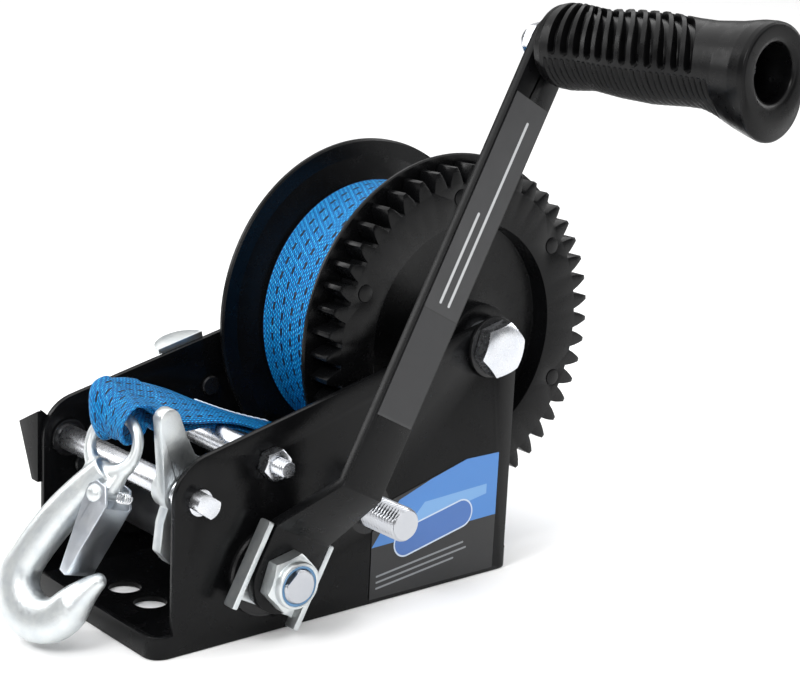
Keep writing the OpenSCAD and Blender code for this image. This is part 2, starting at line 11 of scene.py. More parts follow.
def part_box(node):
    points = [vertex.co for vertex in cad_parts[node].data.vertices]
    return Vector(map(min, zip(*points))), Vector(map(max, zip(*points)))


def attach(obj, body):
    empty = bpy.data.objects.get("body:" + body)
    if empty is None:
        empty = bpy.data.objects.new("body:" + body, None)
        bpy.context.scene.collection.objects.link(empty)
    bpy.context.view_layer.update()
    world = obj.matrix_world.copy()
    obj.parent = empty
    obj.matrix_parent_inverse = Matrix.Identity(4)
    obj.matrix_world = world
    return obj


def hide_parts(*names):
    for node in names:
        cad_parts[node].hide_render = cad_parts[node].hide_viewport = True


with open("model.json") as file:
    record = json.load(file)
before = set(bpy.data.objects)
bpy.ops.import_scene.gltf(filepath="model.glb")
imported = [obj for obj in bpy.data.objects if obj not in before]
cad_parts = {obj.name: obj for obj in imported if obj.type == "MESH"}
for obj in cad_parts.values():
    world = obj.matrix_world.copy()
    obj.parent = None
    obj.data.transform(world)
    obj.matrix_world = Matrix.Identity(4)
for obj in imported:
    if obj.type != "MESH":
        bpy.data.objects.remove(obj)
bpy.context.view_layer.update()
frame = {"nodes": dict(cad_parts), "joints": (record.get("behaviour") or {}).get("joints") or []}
NODES = frame["nodes"]
JOINTS = {j["name"]: j for j in frame["joints"]}
MM = 0.001
TAU = 2 * math.pi


def mid(node):
    lo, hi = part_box(node)
    return (lo + hi) / 2


# Axes in the side view (x, z), in metres, from the joints and the CAD boxes
def joint_xz(name):
    p = JOINTS[name]["pos_m"]
    return p[0], p[2]


DRUM = joint_xz("drum_spin")
COUNTER = joint_xz("second_shaft_spin")
INPUT = joint_xz("crank_spin")
GRIP = joint_xz("grip_spin")
PAWL = joint_xz("pawl_flip")
TIE = (mid("tie_spacer").x, mid("tie_spacer").z)
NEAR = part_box("winch_frame")[0].y
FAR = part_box("winch_frame")[1].y


# ---------------------------------------------------------------- materials

def new_material(name):
    m = bpy.data.materials.new(name)
    m.use_nodes = True
    nt = m.node_tree
    nt.nodes.clear()
    out = nt.nodes.new("ShaderNodeOutputMaterial")
    shader = nt.nodes.new("ShaderNodeBsdfPrincipled")
    nt.links.new(shader.outputs[0], out.inputs[0])
    return m, nt, shader


def add(nt, kind, **values):
    n = nt.nodes.new(kind)
    for k, v in values.items():
        if k in n.inputs:
            n.inputs[k].default_value = v
        else:
            setattr(n, k, v)
    return n


def coords(nt, scale=(1, 1, 1), kind="Object", rotation=(0, 0, 0)):
    tc = nt.nodes.new("ShaderNodeTexCoord")
    mp = nt.nodes.new("ShaderNodeMapping")
    mp.inputs["Scale"].default_value = scale
    mp.inputs["Rotation"].default_value = rotation
    nt.links.new(tc.outputs[kind], mp.inputs["Vector"])
    return mp.outputs[0]


def ramp(nt, source, stops):
    r = nt.nodes.new("ShaderNodeValToRGB")
    els = r.color_ramp.elements
    while len(els) < len(stops):
        els.new(0.5)
    for e, (pos, col) in zip(els, stops):
        e.position = pos
        e.color = (*col, 1) if len(col) == 3 else col
    nt.links.new(source, r.inputs[0])
    return r.outputs[0]


def grey(v):
    return (v, v, v)


def noise_tex(nt, vector, scale, detail=3, rough=0.5):
    n = add(nt, "ShaderNodeTexNoise", Scale=scale, Detail=detail, Roughness=rough)
    nt.links.new(vector, n.inputs["Vector"])
    return n.outputs["Fac"]


def bump(nt, shader, height, strength, distance):
    b = add(nt, "ShaderNodeBump", Strength=strength, Distance=distance)
    nt.links.new(height, b.inputs["Height"])
    nt.links.new(b.outputs[0], shader.inputs["Normal"])
    return b


def painted(name, base, rough, grain=2200, depth=0.00006, coat=0.0, speck=0.35, spec=0.5):
    """Paint or powder coat: fine orange peel, faint colour clouds and patchy gloss."""
    m, nt, s = new_material(name)
    v = coords(nt)
    cloud = noise_tex(nt, v, 35, 4)
    lo = tuple(c * (1 - speck) for c in base)
    hi = tuple(c * (1 + speck) for c in base)
    nt.links.new(ramp(nt, cloud, [(0.3, lo), (0.7, hi)]), s.inputs["Base Color"])
    gloss = noise_tex(nt, v, 120, 5, 0.6)
    sheen = ramp(nt, gloss, [(0.25, grey(rough - 0.05)), (0.75, grey(rough + 0.07))])
    nt.links.new(sheen, s.inputs["Roughness"])
    bump(nt, s, noise_tex(nt, v, grain, 2), 0.35, depth)
    s.inputs["Coat Weight"].default_value = coat
    s.inputs["Coat Roughness"].default_value = 0.25
    s.inputs["Specular IOR Level"].default_value = spec
    return m


def plated(name, base, rough, mottle=60, grain=900, depth=0.00005, tint=(1.0, 1.0, 1.0), spread=0.12):
    """Zinc or steel: crystalline mottling, slight colour drift and fine grain."""
    m, nt, s = new_material(name)
    v = coords(nt)
    a = noise_tex(nt, v, mottle, 5, 0.62)
    cool = tuple(c * (1 - spread) * t for c, t in zip(base, (0.97, 0.99, 1.03)))
    warm = tuple(min(1, c * (1 + spread * 0.6)) * t for c, t in zip(base, tint))
    nt.links.new(ramp(nt, a, [(0.3, cool), (0.7, warm)]), s.inputs["Base Color"])
    g = noise_tex(nt, v, mottle * 4, 4, 0.6)
    nt.links.new(ramp(nt, g, [(0.3, grey(rough - 0.04)), (0.75, grey(rough + 0.05))]), s.inputs["Roughness"])
    bump(nt, s, noise_tex(nt, v, grain, 3), 0.5, depth)
    s.inputs["Metallic"].default_value = 1.0
    return m


def plastic(name, base, rough, grain=1800, depth=0.00005, spec=0.4):
    m, nt, s = new_material(name)
    v = coords(nt)
    c = noise_tex(nt, v, 80, 3)
    cloud = ramp(nt, c, [(0.3, tuple(x * 0.8 for x in base)), (0.7, tuple(x * 1.2 for x in base))])
    nt.links.new(cloud, s.inputs["Base Color"])
    r = noise_tex(nt, v, 260, 3)
    nt.links.new(ramp(nt, r, [(0.3, grey(rough - 0.05)), (0.7, grey(rough + 0.06))]), s.inputs["Roughness"])
    bump(nt, s, noise_tex(nt, v, grain, 2), 0.4, depth)
    s.inputs["Specular IOR Level"].default_value = spec
    return m


POWDER = painted("black powder coat", (0.0028, 0.0029, 0.0032), 0.24, spec=0.14)
ARM_PAINT = painted("black arm paint", (0.003, 0.0031, 0.0034), 0.28, spec=0.15)
DRUM_PAINT = painted("black drum paint", (0.0028, 0.0029, 0.0032), 0.25, spec=0.16)
ZINC = plated("zinc fastener", (0.64, 0.65, 0.67), 0.27, 110, 1400, 0.00003, spread=0.05)
CASTING = plated("zinc casting", (0.66, 0.685, 0.68), 0.42, 170, 900, 0.00022, spread=0.08)
ZINC_SHEET = plated("zinc sheet", (0.7, 0.73, 0.77), 0.33, 110, 900, 0.00004, spread=0.05)
OXIDE = painted("black oxide", (0.006, 0.006, 0.0065), 0.24, coat=0.05, spec=0.3)
STEEL = plated("machined steel", (0.5, 0.51, 0.53), 0.32, 40, 1600, 0.00004)
WIRE = plated("spring wire", (0.7, 0.71, 0.72), 0.22, 200, 3000, 0.00002)
GRIP_PLASTIC = plastic("black grip", (0.002, 0.002, 0.0022), 0.3, spec=0.16)
NYLON = plastic("blue nylon", (0.1, 0.22, 0.38), 0.4)


def webbing(name):
    """Woven polyester: a herringbone of yarns across the UV in metres, with rows of dark dashes along it,
    painted shade in the grooves between yarns and a painted highlight on their crowns.
    """
    m, nt, s = new_material(name)
    uv = nt.nodes.new("ShaderNodeUVMap")
    uv.uv_map = "weave"
    sep = nt.nodes.new("ShaderNodeSeparateXYZ")
    nt.links.new(uv.outputs[0], sep.inputs[0])

    def op(kind, a, b=None, c=None):
        n = nt.nodes.new("ShaderNodeMath")
        n.operation = kind
        for i, x in enumerate((a, b, c)):
            if x is None:
                continue
            if isinstance(x, (int, float)):
                n.inputs[i].default_value = x
            else:
                nt.links.new(x, n.inputs[i])
        return n.outputs[0]

    along, across = sep.outputs[0], sep.outputs[1]
    yarn = 0.00145
    pitch = 0.0026
    col = op("DIVIDE", across, yarn)
    lane = op("FLOOR", col)
    # each lane is a twisted warp yarn: slanted plies that change direction from lane to lane
    way = op("SUBTRACT", op("MULTIPLY", op("MODULO", op("ABSOLUTE", lane), 2.0), 2.0), 1.0)
    inside = op("SUBTRACT", op("FRACT", col), 0.5)
    slant = op("MULTIPLY_ADD", op("MULTIPLY", inside, way), 0.9, op("DIVIDE", along, pitch))
    shift = op("MULTIPLY", op("MODULO", op("ABSOLUTE", lane), 3.0), 0.333)
    ply = op("SINE", op("MULTIPLY", op("ADD", slant, shift), TAU))
    round_ = op("COSINE", op("MULTIPLY", inside, math.pi))
    height = op("MULTIPLY", op("MULTIPLY_ADD", ply, 0.38, 0.62), round_)
    v = coords(nt)
    fuzz = noise_tex(nt, v, 2400, 3)
    full = op("MULTIPLY_ADD", fuzz, 0.22, height)
    # dashes: six lanes spread over the strap, dark for half of each repeat
    lanes = [-14.0, -9.0, -4.0, 1.0, 6.0, 11.0]
    hit = None
    for i, ln in enumerate(lanes):
        on_lane = op("COMPARE", lane, ln, 0.25)
        phase = op("FRACT", op("ADD", op("DIVIDE", along, 0.0078), 0.5 * (i % 2)))
        dash = op("MULTIPLY", on_lane, op("LESS_THAN", phase, 0.5))
        hit = dash if hit is None else op("MAXIMUM", hit, dash)
    tone = noise_tex(nt, v, 500, 4, 0.65)
    blue = ramp(nt, tone, [(0.25, (0.0, 0.13, 0.5)), (0.5, (0.0, 0.25, 0.76)), (0.75, (0.02, 0.42, 0.95))])
    # painted shade and painted highlight: the colour darkens in the grooves between yarns and brightens far
    # past white on the yarn crowns
    shade = ramp(nt, height, [(0.0, grey(0.12)), (0.4, grey(0.6)), (0.7, grey(1.0)), (0.92, (9.0, 2.6, 1.6))])
    mix = add(nt, "ShaderNodeMix", data_type="RGBA", blend_type="MULTIPLY")
    mix.inputs[0].default_value = 1.0
    nt.links.new(blue, mix.inputs[6])
    nt.links.new(shade, mix.inputs[7])
    dark = add(nt, "ShaderNodeMix", data_type="RGBA")
    nt.links.new(hit, dark.inputs[0])
    nt.links.new(mix.outputs[2], dark.inputs[6])
    dark.inputs[7].default_value = (0.006, 0.012, 0.03, 1)
    nt.links.new(dark.outputs[2], s.inputs["Base Color"])
    s.inputs["Roughness"].default_value = 0.42
    s.inputs["Specular IOR Level"].default_value = 0.35
    bump(nt, s, full, 0.9, 0.0006)
    return m


WEB = webbing("blue webbing")


def thread_material():
    m, nt, s = new_material("stitching thread")
    v = coords(nt)
    n = noise_tex(nt, v, 3000, 3)
    nt.links.new(ramp(nt, n, [(0.3, (0.45, 0.55, 0.68)), (0.7, (0.85, 0.9, 0.95))]), s.inputs["Base Color"])
    s.inputs["Roughness"].default_value = 0.6
    bump(nt, s, n, 0.6, 0.0001)
    return m


THREAD = thread_material()


def label_material(name, ground, patches, rough=0.35):
    """A printed label: flat shapes in the side view's x and z. Each patch is (colour, its inside test)."""
    m, nt, s = new_material(name)
    tc = nt.nodes.new("ShaderNodeTexCoord")
    sep = nt.nodes.new("ShaderNodeSeparateXYZ")
    nt.links.new(tc.outputs["Object"], sep.inputs[0])

    def op(kind, a, b=None):
        n = nt.nodes.new("ShaderNodeMath")
        n.operation = kind
        for i, x in enumerate((a, b)):
            if x is None:
                continue
            if isinstance(x, (int, float)):
                n.inputs[i].default_value = x
            else:
                nt.links.new(x, n.inputs[i])
        return n.outputs[0]

    n = noise_tex(nt, tc.outputs["Object"], 90, 4)
    colour = ramp(nt, n, [(0.3, tuple(c * 0.85 for c in ground)), (0.7, tuple(c * 1.15 for c in ground))])
    for col, shape in patches:
        mask = shape(op, sep.outputs[0], sep.outputs[2])
        mix = add(nt, "ShaderNodeMix", data_type="RGBA")
        nt.links.new(mask, mix.inputs[0])
        nt.links.new(colour, mix.inputs[6])
        mix.inputs[7].default_value = (*col, 1)
        colour = mix.outputs[2]
    nt.links.new(colour, s.inputs["Base Color"])
    gloss = noise_tex(nt, tc.outputs["Object"], 300, 3)
    nt.links.new(ramp(nt, gloss, [(0.3, grey(rough - 0.04)), (0.7, grey(rough + 0.06))]),
                 s.inputs["Roughness"])
    bump(nt, s, noise_tex(nt, tc.outputs["Object"], 1500, 2), 0.15, 0.00004)
    return m


def half_planes(points):
    """Inside of a convex polygon of (x, z) in millimetres, given anticlockwise."""
    def shape(op, x, z):
        mask = None
        for (x0, z0), (x1, z1) in zip(points, points[1:] + points[:1]):
            nx, nz = -(z1 - z0), x1 - x0
            l = math.hypot(nx, nz)
            nx, nz = nx / l, nz / l
            d = op("ADD", op("ADD", op("MULTIPLY", x, nx), op("MULTIPLY", z, nz)), -(x0 * nx + z0 * nz) * MM)
            inside = op("GREATER_THAN", d, 0.0)
            mask = inside if mask is None else op("MULTIPLY", mask, inside)
        return mask
    return shape


def pill(a, b, r_in, r_out):
    """Ring around the segment a to b, in millimetres."""
    def shape(op, x, z):
        ax, az = a[0] * MM, a[1] * MM
        bx, bz = b[0] * MM, b[1] * MM
        l2 = (bx - ax) ** 2 + (bz - az) ** 2
        px, pz = op("SUBTRACT", x, ax), op("SUBTRACT", z, az)
        t = op("DIVIDE", op("ADD", op("MULTIPLY", px, bx - ax), op("MULTIPLY", pz, bz - az)), l2)
        t = op("MINIMUM", op("MAXIMUM", t, 0.0), 1.0)
        dx = op("SUBTRACT", px, op("MULTIPLY", t, bx - ax))
        dz = op("SUBTRACT", pz, op("MULTIPLY", t, bz - az))
        d = op("SQRT", op("ADD", op("MULTIPLY", dx, dx), op("MULTIPLY", dz, dz)))
        return op("MULTIPLY", op("LESS_THAN", d, r_out * MM), op("GREATER_THAN", d, r_in * MM))
    return shape


# ------------------------------------------------------------------- meshes

def make(name, verts, faces, material, body, slot, replaces=(), smooth=True, angle=None):
    mesh = bpy.data.meshes.new(name)
    mesh.from_pydata([tuple(v) for v in verts], [], [tuple(f) for f in faces])
    mesh.validate()
    bm = bmesh.new()
    bm.from_mesh(mesh)
    bmesh.ops.recalc_face_normals(bm, faces=bm.faces)
    bm.to_mesh(mesh)
    bm.free()
    return place(name, mesh, material, body, slot, replaces, smooth, angle)


def place(name, mesh, material, body, slot, replaces=(), smooth=True, angle=None):
    obj = bpy.data.objects.new(name, mesh)
    bpy.context.scene.collection.objects.link(obj)
    mesh.materials.append(material)
    if smooth:
        mesh.polygons.foreach_set("use_smooth", [True] * len(mesh.polygons))
        if angle:
            mesh.set_sharp_from_angle(angle=math.radians(angle))
    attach(obj, body)
    if replaces:
        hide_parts(*replaces)
    return obj


class Build:
    """Collects several shells into one mesh."""

    def __init__(self):
        self.v = []
        self.f = []

    def grid(self, rows, close_row=True, cap_start=True, cap_end=True):
        """Skins rings of equal length; each ring is closed."""
        base = len(self.v)
        n = len(rows[0])
        for r in rows:
            self.v.extend(tuple(p) for p in r)
        for i in range(len(rows) - 1):
            for k in range(n if close_row else n - 1):
                j = (k + 1) % n
                a = base + i * n
                self.f.append((a + k, a + j, a + n + j, a + n + k))
        if close_row and cap_start:
            self.f.append(tuple(base + k for k in reversed(range(n))))
        if close_row and cap_end:
            top = base + (len(rows) - 1) * n
            self.f.append(tuple(top + k for k in range(n)))

    def loop(self, rows):
        """Skins rings and joins the last ring to the first."""
        base = len(self.v)
        n = len(rows[0])
        for r in rows:
            self.v.extend(tuple(p) for p in r)
        m = len(rows)
        for i in range(m):
            for k in range(n):
                j = (k + 1) % n
                a, b = base + i * n, base + ((i + 1) % m) * n
                self.f.append((a + k, a + j, b + j, b + k))

    def make(self, name, *args, **kw):
        return make(name, self.v, self.f, *args, **kw)


def ring(at, y, r, n):
    """Circle about a Y axis; r is a number or a function of the angle. All in metres."""
    out = []
    for k in range(n):
        a = TAU * k / n
        q = r(a) if callable(r) else r
        out.append((at[0] + q * math.cos(a), y, at[1] + q * math.sin(a)))
    return out


def turned(b, at, profile, n=96, closed=False):
    """Body of revolution about a Y axis. profile is [(radius, y)] in metres; closed joins last to first."""
    rows = [ring(at, y, max(r, 1e-5), n) for r, y in profile]
    if closed:
        b.loop(rows)
    else:
        b.grid(rows)


def hex_radius(af, turn):
    def r(a):
        w = (a - turn) % (math.pi / 3) - math.pi / 6
        return af / 2 / math.cos(w)
    return r


def hex_solid(b, at, y0, y1, af, turn=0.0, bore=0.0, face=0.0003, n=96, both=False):
    """Hexagonal head or nut from y0, its bearing side, to y1, with its corners turned to a 30 degree cone."""
    sign = 1 if y1 > y0 else -1
    rad = hex_radius(af, turn)
    rc = af / 2 * 0.955

    def drop(q):
        return max(0.0, q - rc) * math.tan(math.radians(30))

    def cone(y, way):
        out = []
        for k in range(n):
            a = TAU * k / n
            q = rad(a)
            out.append((at[0] + q * math.cos(a), y - way * drop(q), at[1] + q * math.sin(a)))
        return out

    inner0 = max(bore, 1e-5)
    rows = [ring(at, y0, inner0, n)]
    if both:
        rows += [ring(at, y0, rc, n), cone(y0, -sign)]
    else:
        rows += [ring(at, y0, rc, n), ring(at, y0 + sign * face, rc, n), ring(at, y0 + sign * face, rad, n)]
    rows += [cone(y1, sign), ring(at, y1, rc, n)]
    if bore:
        rows += [ring(at, y1, bore + 0.0008, n), ring(at, y1 - sign * 0.0008, bore, n)]
        b.loop(rows)
    else:
        rows += [ring(at, y1, rc * 0.5, n)]
        b.grid(rows)


def threaded(b, at, y0, y1, r, pitch, depth, n=64, flats=(), chamfer=0.0015):
    """Threaded bar from y0 to y1. flats is a list of (angle, distance) planes that cut it."""
    steps = max(8, int(abs(y1 - y0) / pitch * 6))
    rows = []
    sign = 1 if y1 > y0 else -1
    length = abs(y1 - y0)

    def cut(q, a):
        for ang, dist in flats:
            c = math.cos(a - ang)
            if c > 0 and q * c > dist:
                q = dist / c
        return q

    for i in range(steps + 1):
        t = i / steps * length
        y = y0 + sign * t
        row = []
        for k in range(n):
            a = TAU * k / n
            phase = (t / pitch - a / TAU) % 1.0
            tri = abs(phase * 2 - 1)
            q = r - depth * min(1.0, max(0.0, (tri - 0.12) / 0.76))
            q = min(q, r - max(0.0, t - (length - chamfer)) * 0.9)
            q = cut(q, a)
            row.append((at[0] + q * math.cos(a), y, at[1] + q * math.sin(a)))
        rows.append(row)
    b.grid(rows)


def tube(b, points, radius, n=12):
    """Round wire along a list of points, with rotation minimising frames. radius is a number or a list."""
    pts = [Vector(p) for p in points]
    tangents = []
    for i in range(len(pts)):
        a = pts[max(i - 1, 0)]
        c = pts[min(i + 1, len(pts) - 1)]
        tangents.append((c - a).normalized())
    up = Vector((0, 0, 1)) if abs(tangents[0].z) < 0.9 else Vector((1, 0, 0))
    normal = (up - tangents[0] * up.dot(tangents[0])).normalized()
    rows = []
    for i, p in enumerate(pts):
        t = tangents[i]
        normal = (normal - t * normal.dot(t)).normalized()
        side = t.cross(normal)
        r = radius[i] if isinstance(radius, list) else radius
        rows.append([p + r * (math.cos(TAU * k / n) * normal + math.sin(TAU * k / n) * side)
                     for k in range(n)])
    b.grid(rows)


def bevel(node, width, segments=2, limit=35):
    o = NODES[node]
    mod = o.modifiers.new("edge", "BEVEL")
    mod.width = width
    mod.segments = segments
    mod.limit_method = "ANGLE"
    mod.angle_limit = math.radians(limit)
    mod.harden_normals = False
    mod.use_clamp_overlap = True
    return o


def dress(node, material, width=0.0, segments=2, limit=35):
    """Gives a CAD node its material and, where wanted, softened edges."""
    o = NODES[node]
    o.data.materials.clear()
    o.data.materials.append(material)
    if width:
        weld = o.modifiers.new("weld", "WELD")
        weld.merge_threshold = 1e-6
        bevel(node, width, segments, limit)
    for p in o.data.polygons:
        p.use_smooth = True
    smooth = o.modifiers.new("shade", "EDGE_SPLIT")
    smooth.split_angle = math.radians(32)
    return o


# -------------------------------------------------------- CAD nodes that stay

for n, material, width in (
        ("winch_frame", POWDER, 0.0007), ("front_lock_lever", POWDER, 0.0004),
        ("crank_arm", ARM_PAINT, 0.0009),
        ("far_flange", DRUM_PAINT, 0.0), ("near_flange", DRUM_PAINT, 0.0), ("drum_gear", DRUM_PAINT, 0.00035),
        ("drum_rivets", DRUM_PAINT, 0.0005), ("drum_core", DRUM_PAINT, 0.0),
        ("axle_washers", OXIDE, 0.0004), ("input_bush_near", OXIDE, 0.0), ("input_bush_far", OXIDE, 0.0),
        ("counter_bushes", OXIDE, 0.0), ("pawl_pin_clips", OXIDE, 0.0003),
        ("axle_sleeve", STEEL, 0.0003), ("counter_spacer", STEEL, 0.0), ("input_spacer", STEEL, 0.0004),
        ("tie_spacer", ZINC, 0.0004), ("counter_pinion", STEEL, 0.0003), ("counter_gear", STEEL, 0.0003),
        ("input_pinion", STEEL, 0.0003), ("ratchet_wheel", CASTING, 0.0005),
        ("crank_yoke", CASTING, 0.0007), ("pawl", CASTING, 0.0011), ("rear_lock_lever", CASTING, 0.0005),
        ("hook_latch", ZINC_SHEET, 0.0004), ("grip_washer", ZINC, 0.0003), ("nut_insert", NYLON, 0.0003),
        ("pawl_pin", ZINC, 0.0008)):
    dress(n, material, width)


# ------------------------------------------------------------------ fasteners

def part(name, builder, material, body, slot, node, angle=38):
    b = Build()
    builder(b)
    return b.make(name, material, body, slot, (node,), angle=angle)


AXLE_R = 8 * MM


def axle_bolt(b):
    hex_solid(b, DRUM, NEAR - 2 * MM, NEAR - 10 * MM, 24 * MM, math.radians(14))
    turned(b, DRUM, [(AXLE_R, NEAR - 2.5 * MM), (AXLE_R, FAR + 2 * MM)], 64)
    threaded(b, DRUM, FAR + 1.5 * MM, FAR + 15 * MM, AXLE_R, 2 * MM, 1.1 * MM)


def axle_nut(b):
    hex_solid(b, DRUM, FAR + 2 * MM, FAR + 13 * MM, 24 * MM, math.radians(5), bore=7.9 * MM, both=True)


def tie_bolt(b):
    turned(b, TIE, [(4 * MM, NEAR + 0.5 * MM), (4 * MM, FAR + 0.2 * MM)], 48)
    threaded(b, TIE, NEAR + 1 * MM, NEAR - 13.5 * MM, 4 * MM, 1.6 * MM, 0.75 * MM, 64, chamfer=0.7 * MM)
    hex_solid(b, TIE, FAR, FAR + 5.3 * MM, 13 * MM, 0.3)


def tie_nut(b):
    hex_solid(b, TIE, NEAR, NEAR - 6.5 * MM, 13 * MM, math.radians(12), bore=3.9 * MM, both=True)


ARM_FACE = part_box("crank_nut")[1].y
FLAT = math.radians(135)


def crank_nut(b):
    hex_solid(b, INPUT, ARM_FACE, ARM_FACE - 7.6 * MM, 24 * MM, math.radians(12), bore=7.9 * MM)
    y = ARM_FACE
    turned(b, INPUT, [(8.6 * MM, y - 7.2 * MM), (10.9 * MM, y - 7.2 * MM), (10.9 * MM, y - 9.8 * MM),
                      (10.5 * MM, y - 10.7 * MM), (9.7 * MM, y - 11 * MM), (9.3 * MM, y - 10.8 * MM),
                      (9.2 * MM, y - 9.6 * MM), (8.6 * MM, y - 9.4 * MM)], 96, True)


def counter_shaft(b):
    lo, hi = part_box("counter_shaft")
    threaded(b, COUNTER, lo.y + 24 * MM, lo.y, 8 * MM, 2 * MM, 1.05 * MM, 96,
             flats=[(FLAT, 7.2 * MM), (FLAT + math.pi, 7.2 * MM)], chamfer=1.2 * MM)
    turned(b, COUNTER, [(8 * MM, lo.y + 23.5 * MM), (8 * MM, FAR),
                        (5 * MM, FAR + 0.1 * MM), (5 * MM, FAR + 3.1 * MM),
                        (7 * MM, FAR + 3.1 * MM), (7 * MM, hi.y - 1 * MM), (6 * MM, hi.y)], 64)


def input_shaft(b):
    lo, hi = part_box("input_shaft")
    threaded(b, INPUT, lo.y + 12 * MM, lo.y, 8 * MM, 2 * MM, 1.0 * MM, 96,
             flats=[(math.radians(133), 6.4 * MM)], chamfer=1.0 * MM)
    turned(b, INPUT, [(8 * MM, lo.y + 11 * MM), (8 * MM, FAR),
                      (5 * MM, FAR + 0.1 * MM), (5 * MM, FAR + 3.1 * MM),
                      (7 * MM, FAR + 3.1 * MM), (7 * MM, hi.y - 1 * MM), (6 * MM, hi.y)], 64)


def grip_bolt(b):
    lo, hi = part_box("grip_bolt")
    turned(b, GRIP, [(5 * MM, lo.y + 5.9 * MM), (5 * MM, hi.y - 1 * MM), (4.2 * MM, hi.y)], 48)
    turned(b, GRIP, [(3.2 * MM, lo.y + 2.4 * MM), (5.2 * MM, lo.y + 0.2 * MM), (7.2 * MM, lo.y),
                     (8.3 * MM, lo.y + 1.1 * MM),
                     (8.5 * MM, lo.y + 2.2 * MM), (8.5 * MM, lo.y + 6 * MM)], 64)


def grip_nut(b):
    lo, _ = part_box("grip_nut")
    hex_solid(b, GRIP, lo.y, lo.y + 8 * MM, 17 * MM, math.radians(10))
    angles = [math.pi / 2 * i / 14 for i in range(14)]
    dome = [(7.4 * MM * math.cos(a), lo.y + 8 * MM + 6.7 * MM * math.sin(a)) for a in angles]
    turned(b, GRIP, [(7.4 * MM, lo.y + 7.2 * MM)] + dome, 64)


for name, fn, material, body, slot, node in (
        ("axle_hex_bolt", axle_bolt, ZINC, "frame", "zinc_fastener", "axle_bolt"),
        ("axle_hex_nut", axle_nut, ZINC, "frame", "zinc_fastener", "axle_nut"),
        ("tie_hex_bolt", tie_bolt, ZINC, "frame", "zinc_fastener", "tie_bolt"),
        ("tie_hex_nut", tie_nut, ZINC, "frame", "zinc_fastener", "tie_bolt_nut"),
        ("crank_lock_nut", crank_nut, CASTING, "crank", "zinc_fastener", "crank_nut"),
        ("counter_shaft_threaded", counter_shaft, STEEL, "second_shaft", "machined_steel", "counter_shaft"),
        ("input_shaft_threaded", input_shaft, STEEL, "crank", "machined_steel", "input_shaft"),
        ("grip_cap_bolt", grip_bolt, ZINC, "crank", "zinc_fastener", "grip_bolt"),
        ("grip_dome_nut", grip_nut, ZINC, "crank", "zinc_fastener", "grip_nut")):
    part(name, fn, material, body, slot, node)


def lock_rivets(b):
    lo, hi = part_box("lock_rivets")
    for joint in ("front_lock_swing", "rear_lock_swing"):
        profile = [(4.4, lo.y / MM), (5, lo.y / MM + 0.6), (5, lo.y / MM + 1.4), (3, lo.y / MM + 1.4),
                   (3, hi.y / MM - 1.9), (6, hi.y / MM - 1.9), (5.6, hi.y / MM - 0.9),
                   (4, hi.y / MM - 0.2), (2, hi.y / MM)]
        turned(b, joint_xz(joint), [(r * MM, y * MM) for r, y in profile], 48)


part("lock_lever_rivets", lock_rivets, OXIDE, "frame", "black_oxide", "lock_rivets")


def coil(b, centre, y0, y1, radius, wire, turns):
    pts = []
    n = int(turns * 20)
    for i in range(n + 1):
        a = TAU * turns * i / n
        y = y0 + (y1 - y0) * i / n
        pts.append((centre[0] + radius * math.cos(a), y, centre[1] + radius * math.sin(a)))
    tube(b, pts, wire, 10)


def pawl_spring(b):
    lo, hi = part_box("pawl_spring")
    r = (hi.x - lo.x) / 2 - 0.8 * MM
    coil(b, PAWL, lo.y + 0.8 * MM, hi.y - 0.8 * MM, r, 0.75 * MM, 4.5)


part("pawl_torsion_spring", pawl_spring, WIRE, "frame", "spring_wire", "pawl_spring")


# ----------------------------------------------------------------------- hook

hook_joint = JOINTS["hook_swing"]
EYE = Vector(hook_joint["pos_m"])
OUT = Vector(hook_joint["axis"]).normalized()
OUT = OUT if OUT.x > 0 else -OUT
UP = (Vector((0, 0, 1)) - OUT * OUT.z).normalized()
SIDE = OUT.cross(UP)


def hook_at(x, out, z):
    """A point in the hook's own frame, in millimetres: x along its face, out forwards, z up the shank."""
    return EYE + (SIDE * x + OUT * out + UP * z) * MM


EYE_R, EYE_STOCK, EYE_DROP = 12.5, 2.6, 2.0
BOWL, BOWL_R = (-17.5, -67.0), 16.0


def hook_line(n_spine=24, n_bowl=44, n_tip=16):
    low = (BOWL[0] + BOWL_R * math.cos(math.radians(150)), BOWL[1] + BOWL_R * math.sin(math.radians(150)))
    lip = (BOWL[0] + BOWL_R * math.cos(math.radians(330)), BOWL[1] + BOWL_R * math.sin(math.radians(330)))
    neck, bend = (0.0, -13.0), (-21.0, -35.0)
    out = []
    for i in range(n_spine):
        t = i / n_spine
        x = (1 - t) ** 2 * neck[0] + 2 * t * (1 - t) * bend[0] + t * t * low[0]
        z = (1 - t) ** 2 * neck[1] + 2 * t * (1 - t) * bend[1] + t * t * low[1]
        out.append((x, z, 7.2 + 1.2 * math.sin(math.radians(120 * t))))
    for i in range(n_bowl + 1):
        u = i / n_bowl
        a = math.radians(150 + 180 * u)
        stock = 8.3 + 2.4 * math.sin(math.radians(160 * u))
        out.append((BOWL[0] + BOWL_R * math.cos(a), BOWL[1] + BOWL_R * math.sin(a), stock))
    for i in range(1, n_tip + 1):
        s = i / n_tip * 5
        a = math.radians(60 - 2 * s)
        r = 9.1 - 1.22 * s
        if i == n_tip:
            r *= 0.55
        out.append((lip[0] + 4.4 * s * math.cos(a), lip[1] + 4.4 * s * math.sin(a), r))
    return out


